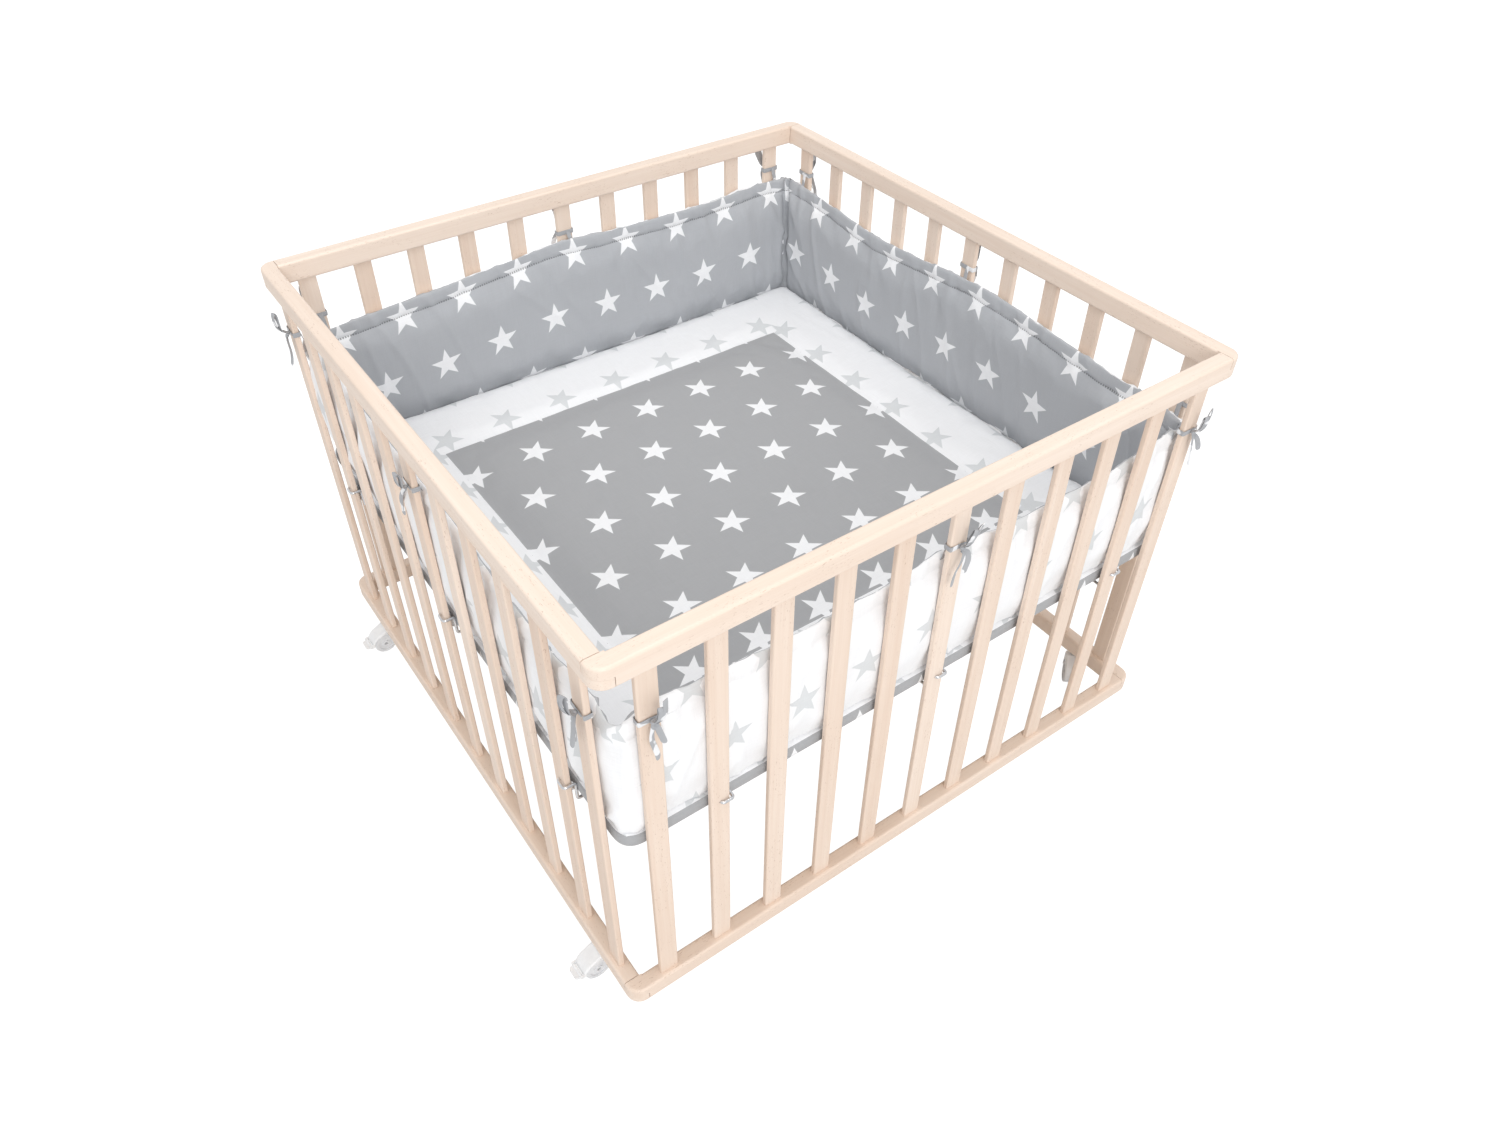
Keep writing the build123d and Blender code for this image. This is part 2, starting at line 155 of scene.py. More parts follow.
# %% [markdown]
# ## Floor and light
#
# The setting is a bright white studio. A pale floor and a white world give the even light.
# A large lamp from the front shades the form softly, and a weaker one above lights the mat.
# The floor has to look pure white and still throw only a pale floor's light on the pen, so
# it glows for the camera's own rays and stays plain paint for all the others.

# %% Floor
FLOOR_PAINT = (0.80, 0.80, 0.80, 1)
GLOW = 1.25
GLOW_SHARE = 0.80         # how much of what the camera sees is glow, not paint
bpy.ops.mesh.primitive_plane_add(size=16)
floor_piece = bpy.context.object
floor_piece.name = "studio_floor"
floor_finish = bpy.data.materials.new("studio floor")
floor_finish.use_nodes = True
floor_shader = floor_finish.node_tree.nodes["Principled BSDF"]
floor_shader.inputs["Roughness"].default_value = 0.9
floor_shader.inputs["Base Color"].default_value = FLOOR_PAINT
tree = floor_finish.node_tree
glow = tree.nodes.new("ShaderNodeEmission")
glow.inputs["Strength"].default_value = GLOW
seen = tree.nodes.new("ShaderNodeLightPath")
share = tree.nodes.new("ShaderNodeMath")
share.operation = "MULTIPLY"
share.inputs[1].default_value = GLOW_SHARE
mix = tree.nodes.new("ShaderNodeMixShader")
tree.links.new(seen.outputs["Is Camera Ray"], share.inputs[0])
tree.links.new(share.outputs[0], mix.inputs[0])
tree.links.new(floor_shader.outputs[0], mix.inputs[1])
tree.links.new(glow.outputs[0], mix.inputs[2])
tree.links.new(mix.outputs[0], tree.nodes["Material Output"].inputs["Surface"])
floor_piece.data.materials.append(floor_finish)
print("floor is ready")

# %% Light
world = bpy.data.worlds.new("studio")
bpy.context.scene.world = world
world.use_nodes = True
world.node_tree.nodes["Background"].inputs["Color"].default_value = (1, 1, 1, 1)
world.node_tree.nodes["Background"].inputs["Strength"].default_value = 0.83
bpy.context.scene.view_settings.view_transform = "Standard"


def soft_lamp(name, place, target, size, power):
    """A large square lamp that points at the target."""
    bpy.ops.object.light_add(type="AREA", location=place)
    lamp = bpy.context.object
    lamp.name = name
    lamp.data.size = size
    lamp.data.energy = power
    lamp.rotation_euler = (Vector(target) - Vector(place)).to_track_quat("-Z", "Y").to_euler()


PEN_MIDDLE = (0, 0, 0.4)
soft_lamp("key lamp", (-2.4, -6.2, 3.6), PEN_MIDDLE, 3.0, 150)
soft_lamp("top lamp", (-0.2, -0.6, 3.2), PEN_MIDDLE, 1.6, 22)
print("two lamps")


# %% [markdown]
# ## A short way to write shader maths
#
# Patterns such as stars and grain are sums and products of coordinates. A small class keeps
# the node tree and makes one node for each sum, so a pattern reads like a formula.

# %% Shader maths
class Nodes:
    """Adds nodes to one tree. Every method gives back the new node's output socket."""

    def __init__(self, tree):
        self.tree = tree
        self.count = 0

    def add(self, kind, **settings):
        node = self.tree.nodes.new(kind)
        self.count += 1
        node.location = (180 * (self.count % 12), -220 * (self.count // 12))
        for key, value in settings.items():
            setattr(node, key, value)
        return node

    def feed(self, socket, value):
        if isinstance(value, bpy.types.NodeSocket):
            self.tree.links.new(value, socket)
        else:
            socket.default_value = value

    def maths(self, operation, *values):
        node = self.add("ShaderNodeMath", operation=operation)
        for socket, value in zip(node.inputs, values):
            self.feed(socket, value)
        return node.outputs[0]

    def weighted(self, *terms):
        """A sum of sockets, each times its weight."""
        total = None
        for value, weight in terms:
            term = self.maths("MULTIPLY", value, weight)
            total = term if total is None else self.maths("ADD", total, term)
        return total

    def here(self):
        """Places on the piece, in metres."""
        return self.add("ShaderNodeTexCoord").outputs["Object"]

    def turned(self, vector, turn):
        node = self.add("ShaderNodeMapping")
        self.feed(node.inputs["Vector"], vector)
        node.inputs["Rotation"].default_value = turn
        return node.outputs[0]

    def ramp(self, value, low, high, to_low=0.0, to_high=1.0, smooth=True):
        """Maps low..high to to_low..to_high and holds the ends."""
        node = self.add("ShaderNodeMapRange",
                        interpolation_type="SMOOTHSTEP" if smooth else "LINEAR")
        for name, one in (("Value", value), ("From Min", low), ("From Max", high),
                          ("To Min", to_low), ("To Max", to_high)):
            self.feed(node.inputs[name], one)
        return node.outputs[0]

    def split(self, vector):
        node = self.add("ShaderNodeSeparateXYZ")
        self.feed(node.inputs[0], vector)
        return node.outputs

    def join(self, x, y, z):
        node = self.add("ShaderNodeCombineXYZ")
        for socket, value in zip(node.inputs, (x, y, z)):
            self.feed(socket, value)
        return node.outputs[0]

    def stretch(self, vector, scale):
        node = self.add("ShaderNodeVectorMath", operation="MULTIPLY")
        self.feed(node.inputs[0], vector)
        node.inputs[1].default_value = scale
        return node.outputs[0]

    def shift(self, vector, by):
        node = self.add("ShaderNodeVectorMath", operation="ADD")
        self.feed(node.inputs[0], vector)
        self.feed(node.inputs[1], by)
        return node.outputs[0]

    def noise(self, vector, scale, detail=2.0, rough=0.5, distortion=0.0):
        node = self.add("ShaderNodeTexNoise")
        self.feed(node.inputs["Vector"], vector)
        for name, value in (("Scale", scale), ("Detail", detail), ("Roughness", rough),
                            ("Distortion", distortion)):
            self.feed(node.inputs[name], value)
        return node.outputs["Fac"]

    def blend(self, share, first, second):
        """A colour between first and second."""
        node = self.add("ShaderNodeMix", data_type="RGBA")
        self.feed(node.inputs["Factor"], share)
        self.feed(node.inputs[6], first)
        self.feed(node.inputs[7], second)
        return node.outputs[2]

    def place(self, group, **values):
        """Places a node group, with values for its inputs, and gives back its outputs."""
        node = self.add("ShaderNodeGroup")
        node.node_tree = group
        for name, value in values.items():
            self.feed(node.inputs[name], value)
        return node.outputs


print("shader maths is ready")

# %% Groups and materials
SOCKET = {"vector": "NodeSocketVector", "value": "NodeSocketFloat", "colour": "NodeSocketColor"}


def shader_group(name, inputs, outputs):
    """An empty node group with named sockets: its maths, its inputs and its output node."""
    group = bpy.data.node_groups.new(name, "ShaderNodeTree")
    for socket, kind in inputs.items():
        group.interface.new_socket(socket, in_out="INPUT", socket_type=SOCKET[kind])
    for socket, kind in outputs.items():
        group.interface.new_socket(socket, in_out="OUTPUT", socket_type=SOCKET[kind])
    nodes = Nodes(group)
    return group, nodes, nodes.add("NodeGroupInput").outputs, nodes.add("NodeGroupOutput").inputs


def new_material(name, **constants):
    """A material with a Principled shader whose plain values are set on its own sockets."""
    material = bpy.data.materials.new(name)
    material.use_nodes = True
    shader = material.node_tree.nodes["Principled BSDF"]
    for socket, value in constants.items():
        shader.inputs[socket.replace("_", " ")].default_value = value
    return material, Nodes(material.node_tree), shader.inputs


def raise_surface(nodes, shader, height, strength, distance):
    """Lets a height lift the surface through a Bump node."""
    bump = nodes.add("ShaderNodeBump")
    bump.inputs["Strength"].default_value = strength
    bump.inputs["Distance"].default_value = distance
    nodes.feed(bump.inputs["Height"], height)
    nodes.feed(shader["Normal"], bump.outputs["Normal"])


print("helpers for materials are ready")

# %% [markdown]
# ## Beech
#
# Steamed beech is pale pink-brown and nearly even. What gives it away is close up: soft long
# grain, and short dark flecks a millimetre or three long that lie along it. One group draws
# the wood with its grain along Z; each material turns its coordinates to suit. Every piece
# of wood gets its own shade and its own part of the pattern, because a real pen is made
# from many different boards.

# %% Wood group
beech, n, given, result = shader_group(
    "beech", {"Vector": "vector", "Piece": "value", "Light": "colour", "Dark": "colour"},
    {"Color": "colour", "Roughness": "value", "Height": "value"})
own = n.add("ShaderNodeTexWhiteNoise", noise_dimensions="1D")
n.feed(own.inputs["W"], given["Piece"])
moved = n.shift(given["Vector"], n.stretch(own.outputs["Color"], (3.0, 3.0, 3.0)))
warp = n.noise(n.stretch(moved, (6, 6, 1.6)), 1.0, 2.0)
x, y, z = n.split(moved)
bent = n.join(n.maths("ADD", x, n.maths("MULTIPLY", warp, 0.02)), y, z)
bands = n.noise(n.stretch(bent, (95, 95, 2.6)), 1.0, 3.0, 0.55)
streaks = n.noise(n.stretch(bent, (420, 420, 9)), 1.0, 2.0, 0.6)
clouds = n.noise(n.stretch(moved, (9, 9, 3)), 1.0, 2.0)
flecks = n.ramp(n.noise(n.stretch(moved, (900, 900, 190)), 1.0, 1.0, 0.4), 0.655, 0.74)
scarce = n.ramp(n.noise(n.stretch(moved, (40, 40, 14)), 1.0, 1.0), 0.40, 0.62)
flecks = n.maths("MULTIPLY", flecks, scarce)
tone = n.weighted((bands, 0.55), (streaks, 0.28), (clouds, 0.45), (own.outputs["Value"], 0.30))
tone = n.ramp(tone, 0.42, 1.12, smooth=False)
colour = n.blend(tone, given["Light"], given["Dark"])
colour = n.blend(n.maths("MULTIPLY", flecks, 0.42), colour, (0.36, 0.20, 0.11, 1))
n.feed(result["Color"], colour)
n.feed(result["Roughness"], n.ramp(n.maths("ADD", streaks, n.maths("MULTIPLY", flecks, 0.5)),
                                   0.3, 1.0, 0.40, 0.56))
n.feed(result["Height"], n.maths("SUBTRACT", n.maths("MULTIPLY", streaks, 0.35), flecks))
print("beech group:", len(beech.nodes), "nodes")


# %% Wood materials
def wood(name, turn, light, dark, piece_rule):
    """Beech whose grain follows the turned Z axis. piece_rule numbers the boards by place."""
    material, n, shader = new_material(name, Coat_Weight=0.10, Coat_Roughness=0.35)
    where = n.here()
    out = n.place(beech, Vector=n.turned(where, turn), Piece=piece_rule(n, where), Light=light,
                  Dark=dark)
    n.feed(shader["Base Color"], out["Color"])
    n.feed(shader["Roughness"], out["Roughness"])
    raise_surface(n, shader, out["Height"], 0.35, 0.0006)
    return material


def slat_number(n, where):
    """A different whole number for every slat, from its place along its panel."""
    x, y, _ = n.split(where)
    along = n.maths("FLOOR", n.maths("ADD", n.maths("DIVIDE", x, SLAT_PITCH), 0.5))
    over = n.maths("FLOOR", n.maths("ADD", n.maths("DIVIDE", y, SLAT_PITCH), 0.5))
    return n.weighted((along, 17.3), (over, 5.9))


RAILS_PART = 0.4          # a height between the bottom rails and the top rails


def rail_number(n, where):
    """The top rails get one number, and everything lower gets another."""
    height = n.split(where)[2]
    return n.maths("MULTIPLY", n.maths("GREATER_THAN", height, RAILS_PART), 7.7)


BEECH_LIGHT = (0.885, 0.755, 0.650, 1)
BEECH_DARK = (0.750, 0.580, 0.462, 1)
slat_wood = wood("beech slats", (0, 0, 0), BEECH_LIGHT, BEECH_DARK, slat_number)
rail_wood_x = wood("beech rails along x", (0, pi / 2, 0), BEECH_LIGHT, BEECH_DARK, rail_number)
rail_wood_y = wood("beech rails along y", (pi / 2, 0, 0), BEECH_LIGHT, BEECH_DARK, rail_number)
batten_wood = wood("batten wood", (0, pi / 2, 0), (0.76, 0.58, 0.42, 1), (0.60, 0.42, 0.28, 1),
                   rail_number)
print("four wood materials")

# %% [markdown]
# ## Plywood for the base board
#
# The board has a pale birch face with the grain along Y. At its cut edge the plies show as
# thin lighter and darker layers, so the layers are drawn wherever the surface stands upright.

# %% Plywood
TWO_PLIES = 0.0032        # thickness of one pale and one dark ply
plywood, n, shader = new_material("plywood", Roughness=0.55)
where = n.here()
face = n.place(beech, Vector=n.turned(where, (pi / 2, 0, 0)), Piece=3.0,
               Light=(0.78, 0.64, 0.47, 1), Dark=(0.62, 0.47, 0.32, 1))
upright = n.split(n.add("ShaderNodeNewGeometry").outputs["Normal"])[2]
edge = n.ramp(n.maths("ABSOLUTE", upright), 0.5, 0.8, 1.0, 0.0)
depth = n.maths("MULTIPLY", n.split(where)[2], 2 * pi / TWO_PLIES)
plies = n.ramp(n.maths("SINE", depth), -0.3, 0.3)
layers = n.blend(plies, (0.50, 0.34, 0.21, 1), (0.74, 0.58, 0.41, 1))
n.feed(shader["Base Color"], n.blend(edge, face["Color"], layers))
raise_surface(n, shader, face["Height"], 0.3, 0.0005)
print("plywood is ready")

# %% [markdown]
# ## Metal and plastic
#
# The hooks are bright zinc-plated wire. Plating is never quite even, so a little noise moves
# the roughness. The casters are white moulded plastic: slightly soft highlights and a very
# fine grain. Both finishes use one small group for that unevenness.

# %% Uneven finish group
uneven, n, given, result = shader_group(
    "uneven finish", {"Vector": "vector", "Scale": "value", "Low": "value", "High": "value"},
    {"Roughness": "value", "Height": "value", "Tone": "value"})
broad = n.noise(given["Vector"], given["Scale"], 3.0, 0.6)
fine = n.noise(given["Vector"], n.maths("MULTIPLY", given["Scale"], 14.0), 2.0, 0.5)
n.feed(result["Roughness"], n.ramp(broad, 0.3, 0.7, given["Low"], given["High"]))
n.feed(result["Height"], fine)
n.feed(result["Tone"], broad)
print("uneven finish group:", len(uneven.nodes), "nodes")


# %% Metals and plastics
def hard_finish(name, light, dark, scale, low, high, bump, **constants):
    """A metal or plastic between two close colours, with a slightly uneven gloss."""
    material, n, shader = new_material(name, **constants)
    out = n.place(uneven, Vector=n.here(), Scale=scale, Low=low, High=high)
    n.feed(shader["Base Color"], n.blend(n.ramp(out["Tone"], 0.35, 0.65), light, dark))
    n.feed(shader["Roughness"], out["Roughness"])
    raise_surface(n, shader, out["Height"], bump, 0.0002)
    return material


zinc = hard_finish("zinc wire", (0.78, 0.79, 0.81, 1), (0.62, 0.64, 0.67, 1), 130.0, 0.18, 0.34,
                   0.15, Metallic=1.0)
steel = hard_finish("plated steel", (0.66, 0.67, 0.69, 1), (0.52, 0.53, 0.55, 1), 160.0, 0.25,
                    0.42, 0.15, Metallic=1.0)
brass = hard_finish("brass inserts", (0.80, 0.62, 0.30, 1), (0.66, 0.50, 0.23, 1), 160.0, 0.3,
                    0.45, 0.15, Metallic=1.0)
hood_plastic = hard_finish("white caster hoods", (0.88, 0.885, 0.89, 1), (0.83, 0.835, 0.845, 1),
                           60.0, 0.28, 0.40, 0.08, Coat_Weight=0.15)
wheel_plastic = hard_finish("white caster wheels", (0.80, 0.81, 0.825, 1),
                            (0.73, 0.74, 0.76, 1), 60.0, 0.34, 0.48, 0.10)
print("metals and plastics are ready")

# %% Dress the CAD parts
for name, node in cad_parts.items():
    if "slats" in name:
        finish = slat_wood
    elif name.endswith("rail"):
        finish = rail_wood_x if name.startswith(("front", "back")) else rail_wood_y
    elif name.endswith("hooks"):
        finish = zinc
    elif name.endswith("base_board"):
        finish = plywood
    elif name == "base_battens":
        finish = batten_wood
    elif "wheel" in name:
        finish = wheel_plastic
    elif "hood" in name or "pedal" in name:
        finish = hood_plastic
    elif "insert" in name:
        finish = brass
    else:
        finish = steel
    node.data.materials.clear()
    node.data.materials.append(finish)
print("dressed", len(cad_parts), "CAD parts")

# %% [markdown]
# ## The star print
#
# Both fabrics carry five-pointed stars in staggered rows, one repeat apart. The group folds
# the plane into one repeat, then folds the angle round the star's middle into half a tip,
# so a single slanted line decides what is inside. Coordinates come in repeats, from each
# piece's own UV map, so the print follows the cloth.

# %% Star group
TIP = 0.272               # a star's tip from its middle, in repeats
NOTCH = 0.40              # inner corner as a share of the tip
notch_x, notch_y = NOTCH * cos(pi / 5), NOTCH * sin(pi / 5)
slope = hypot(notch_y, 1 - notch_x)
star_print, n, given, result = shader_group("star print", {"Vector": "vector"},
                                            {"Star": "value"})
u, v, _ = n.split(given["Vector"])
row = n.maths("FLOOR", n.maths("ADD", v, 0.5))
down = n.maths("SUBTRACT", v, row)
stagger = n.maths("FRACT", n.maths("ADD", n.maths("MULTIPLY", row, 0.5), 64.0))
along = n.maths("SUBTRACT", u, stagger)
along = n.maths("SUBTRACT", along, n.maths("FLOOR", n.maths("ADD", along, 0.5)))
reach = n.maths("SQRT", n.maths("ADD", n.maths("MULTIPLY", along, along),
                                n.maths("MULTIPLY", down, down)))
angle = n.maths("DIVIDE", n.maths("ARCTAN2", along, down), 2 * pi / 5)
angle = n.maths("ABSOLUTE", n.maths("SUBTRACT", angle, n.maths("ROUND", angle)))
angle = n.maths("MULTIPLY", angle, 2 * pi / 5)
to_tip = n.maths("MULTIPLY", reach, n.maths("COSINE", angle))
off_tip = n.maths("MULTIPLY", reach, n.maths("SINE", angle))
outside = n.maths("MULTIPLY", n.maths("SUBTRACT", to_tip, TIP), notch_y / slope)
outside = n.maths("ADD", outside, n.maths("MULTIPLY", off_tip, (1 - notch_x) / slope))
n.feed(result["Star"], n.ramp(outside, -0.004, 0.004, 1.0, 0.0, smooth=False))
print("star print:", len(star_print.nodes), "nodes")

# %% [markdown]
# ## Cotton
#
# The cover is a plain-woven cotton. Its threads are far finer than the print, so they show
# mainly as a soft, matt surface. The weave group crosses two sets of fine waves for the
# threads and adds slubs, the faint uneven streaks of real yarn, and creases from folding.

# %% Weave group
weave, n, given, result = shader_group(
    "cotton weave", {"Vector": "vector", "Threads": "value"},
    {"Height": "value", "Shade": "value"})
u, v, _ = n.split(given["Vector"])
warp_thread = n.maths("SINE", n.maths("MULTIPLY", u, given["Threads"]))
weft_thread = n.maths("SINE", n.maths("MULTIPLY", v, given["Threads"]))
threads = n.maths("MULTIPLY", warp_thread, weft_thread)
slubs = n.noise(n.stretch(given["Vector"], (3.0, 60.0, 1.0)), 1.0, 2.0)
slubs = n.maths("ADD", slubs, n.noise(n.stretch(given["Vector"], (60.0, 3.0, 1.0)), 1.0, 2.0))
crease = n.noise(given["Vector"], 2.6, 3.0, 0.55, 0.8)
fine_crease = n.noise(given["Vector"], 9.0, 3.0, 0.6, 0.5)
n.feed(result["Height"], n.weighted((threads, 0.02), (slubs, 0.03), (crease, 1.0),
                                    (fine_crease, 0.16)))
n.feed(result["Shade"], n.weighted((slubs, 0.5), (threads, 0.1)))
print("weave group:", len(weave.nodes), "nodes")

# %% Cottons
HEM = 0.022               # width of the bumper's hem
STITCH_PITCH = 0.0042
STITCH_HALF_WIDTH = 0.0010
THREADS = 190.0           # in one repeat of the print


def cotton(name, ground, star, stitched=False, lift=0.0022):
    """Printed cotton: ground colour, star colour, and how far the creases lift.

    A stitched cotton has a second map called hem, whose v is the depth below the top edge,
    and a dashed line of stitches runs along the hem's seam.
    """
    material, n, shader = new_material(name, Roughness=0.82, Sheen_Weight=0.18,
                                       Sheen_Roughness=0.5, Specular_IOR_Level=0.25)
    where = n.add("ShaderNodeUVMap", uv_map="print").outputs[0]
    stars = n.place(star_print, Vector=where)["Star"]
    cloth = n.place(weave, Vector=where, Threads=2 * pi * THREADS)
    colour = n.blend(stars, ground, star)
    tint = n.ramp(cloth["Shade"], 0.3, 0.7, 0.97, 1.03, smooth=False)
    tinted = n.add("ShaderNodeVectorMath", operation="SCALE")
    n.feed(tinted.inputs[0], colour)
    if stitched:
        along, depth, _ = n.split(n.add("ShaderNodeUVMap", uv_map="hem").outputs[0])
        off_seam = n.maths("ABSOLUTE", n.maths("SUBTRACT", depth, HEM))
        on_seam = n.maths("LESS_THAN", off_seam, STITCH_HALF_WIDTH)
        dash = n.maths("SINE", n.maths("MULTIPLY", along, 2 * pi / STITCH_PITCH))
        stitch = n.maths("MULTIPLY", on_seam, n.ramp(dash, -0.5, -0.3))
        tint = n.maths("MULTIPLY", tint, n.ramp(stitch, 0.0, 1.0, 1.0, 0.50))
    n.feed(tinted.inputs["Scale"], tint)
    n.feed(shader["Base Color"], tinted.outputs[0])
    raise_surface(n, shader, cloth["Height"], 0.5, lift)
    return material


MAT_GREY = (0.400, 0.406, 0.418, 1)
BUMPER_GREY = (0.455, 0.470, 0.495, 1)
WHITE = (0.900, 0.908, 0.925, 1)
PALE_STAR = (0.690, 0.710, 0.725, 1)
mat_cotton = cotton("mat star cotton", MAT_GREY, WHITE)
grey_cotton = cotton("grey star cotton", BUMPER_GREY, WHITE, stitched=True)
white_cotton = cotton("white star cotton", WHITE, PALE_STAR)
plain_grey = cotton("mat underside", MAT_GREY, MAT_GREY)
print("four cottons")

# %% Ribbon material
RIB_PITCH = 0.0011
ribbon_finish, n, shader = new_material("grey ribbon", Roughness=0.7, Sheen_Weight=0.2)
where = n.here()
rib = n.maths("SINE", n.maths("MULTIPLY", n.split(where)[2], 2 * pi / RIB_PITCH))
patches = n.ramp(n.noise(where, 46.0, 1.0), 0.60, 0.63)
base = n.blend(patches, (0.400, 0.410, 0.430, 1), (0.84, 0.85, 0.87, 1))
n.feed(shader["Base Color"], base)
raise_surface(n, shader, n.maths("ADD", n.maths("MULTIPLY", rib, 0.3), n.noise(where, 260.0)),
              0.4, 0.0004)
print("ribbon is ready")

# %% [markdown]
# ## The mat
#
# The mat is a thin quilt: a grey panel with a wide white border, stitched together along the
# panel's edge. It is one closed slab cut into small squares, so that its seams follow lines
# of vertices. The rim is lower, because the bumper is sewn on it there.

# %% Mat slab
MAT_CELLS = 108
CELL = 2 * HALF_MAT / MAT_CELLS
MAT_STEP = 0.004          # each level's height before the slab gets its form
RIM = 0.012               # width of the rim under the bumper
EDGE_TOP = BUMPER_FOOT
PANEL_X, PANEL_Y = 38 * CELL, 37 * CELL        # half sides of the grey panel
bpy.ops.mesh.primitive_grid_add(x_subdivisions=MAT_CELLS, y_subdivisions=MAT_CELLS,
                                size=2 * HALF_MAT, location=(0, 0, 0))
mat = bpy.context.object
bpy.ops.object.mode_set(mode="EDIT")
bpy.ops.mesh.select_all(action="SELECT")
for step in range(3):
    bpy.ops.mesh.extrude_region_move(TRANSFORM_OT_translate={"value": (0, 0, MAT_STEP)})
bpy.ops.mesh.select_all(action="SELECT")
bpy.ops.mesh.normals_make_consistent(inside=False)
bpy.ops.object.mode_set(mode="OBJECT")


def near_line(value, line):
    return abs(abs(value) - line) < CELL * 0.3


def on_panel_seam(x, y):
    across_x = near_line(x, PANEL_X) and abs(y) < PANEL_Y + CELL * 0.3
    across_y = near_line(y, PANEL_Y) and abs(x) < PANEL_X + CELL * 0.3
    return across_x or across_y


def mat_surface(x, y, level):
    """Height of the slab at a point: level runs from 0 at the underside to 3 on top."""
    inwards = HALF_MAT - max(abs(x), abs(y))
    if level == 0:
        return MAT_UNDER + 0.002 * max(0.0, 1 - inwards / 0.008)
    if level < 3:
        return MAT_UNDER + (EDGE_TOP - MAT_UNDER) * (0.16 if level == 1 else 0.84)
    rise = min(1.0, max(0.0, (inwards - RIM) / 0.008))
    crown = 0.0035 * exp(-max(0.0, inwards - 0.02) / 0.03)
    return EDGE_TOP + (MAT_TOP - 0.003 + crown - EDGE_TOP) * sin(rise * pi / 2)


CORNER_ROUND = 0.026
SIDE_BULGE = 0.002        # how far the middle of the mat's side stands out
mat_levels = []
for v in mat.data.vertices:
    level = round(v.co.z / MAT_STEP)
    mat_levels.append(level)
    x, y = v.co.x, v.co.y
    over_x = abs(x) - (HALF_MAT - CORNER_ROUND)
    over_y = abs(y) - (HALF_MAT - CORNER_ROUND)
    if over_x > 0 and over_y > 0:
        # squares near a corner are drawn in to a quarter circle
        longest = max(over_x, over_y)
        reach = longest / hypot(over_x, over_y)
        x += (over_x * reach - over_x) * (1 if x > 0 else -1)
        y += (over_y * reach - over_y) * (1 if y > 0 else -1)
    # the height follows the place that the point had before it was drawn in
    v.co = (x, y, mat_surface(v.co.x, v.co.y, level))
    if level in (1, 2) and max(over_x, over_y) > CORNER_ROUND - 0.001:
        v.co.x *= 1 + SIDE_BULGE / HALF_MAT
        v.co.y *= 1 + SIDE_BULGE / HALF_MAT
print("mat slab:", len(mat.data.polygons), "faces")


# %% [markdown]
# The print is laid on the flat slab before the mat is puffed. The panel and the border are
# cut from two fabrics, so they are two materials. The side of the mat shows the grey one,
# and its underside is plain.

# %% Print on the mat
REPEAT_X, REPEAT_Y = 0.110, 0.112
PANEL_ROW = 0.018         # y of the row of stars nearest the mat's middle
SIDE_STAR, SIDE_ROW = 0.012, 0.372             # shift along the side, and height of its row
BORDER_REPEAT = 0.109
BORDER_START = 0.360      # first row of border stars, from the mat's middle


def lay_print(piece, rule):
    """Fills the UV map called print: rule gives (u, v) from a corner and its face's middle."""
    uv = piece.data.uv_layers.get("print") or piece.data.uv_layers.new(name="print")
    for face in piece.data.polygons:
        middle = face.center.copy()
        for loop in face.loop_indices:
            co = piece.data.vertices[piece.data.loops[loop].vertex_index].co
            uv.data[loop].uv = rule(co, middle, face)


def on_top(face):
    return min(mat_levels[i] for i in face.vertices) == 3


def mat_print(co, middle, face):
    """The panel's print is straight; each border strip and side has its own direction."""
    if face.material_index == 0 and on_top(face):
        return co.x / REPEAT_X, (PANEL_ROW - co.y) / REPEAT_Y
    if abs(middle.y) > abs(middle.x):
        along, outwards = co.x * (-1 if middle.y > 0 else 1), abs(co.y)
    else:
        along, outwards = co.y * (1 if middle.x > 0 else -1), abs(co.x)
    if face.material_index == 1:
        return along / BORDER_REPEAT, (BORDER_START - outwards) / BORDER_REPEAT
    return (along + SIDE_STAR) / REPEAT_X, (co.z - SIDE_ROW + HALF_MAT - outwards) / REPEAT_X


for material in (mat_cotton, white_cotton, plain_grey):
    mat.data.materials.append(material)
for face in mat.data.polygons:
    c = face.center
    if max(mat_levels[i] for i in face.vertices) == 0:
        face.material_index = 2
    elif on_top(face):
        inside = abs(c.x) < PANEL_X and abs(c.y) < PANEL_Y
        face.material_index = 0 if inside else 1
lay_print(mat, mat_print)
print("print laid on the mat")


# %% [markdown]
# ## Puffing padded fabric
#
# A quilted piece is sewn flat and then pushed out by its filling, while the seams stay down.
# A cloth simulation does that well: the seams are pinned, pressure inside lifts the rest, and
# cloth that is a little larger than its outline has to gather along the seams. Movement is
# capped, so that the piece stays close to the room that its plain solid holds.

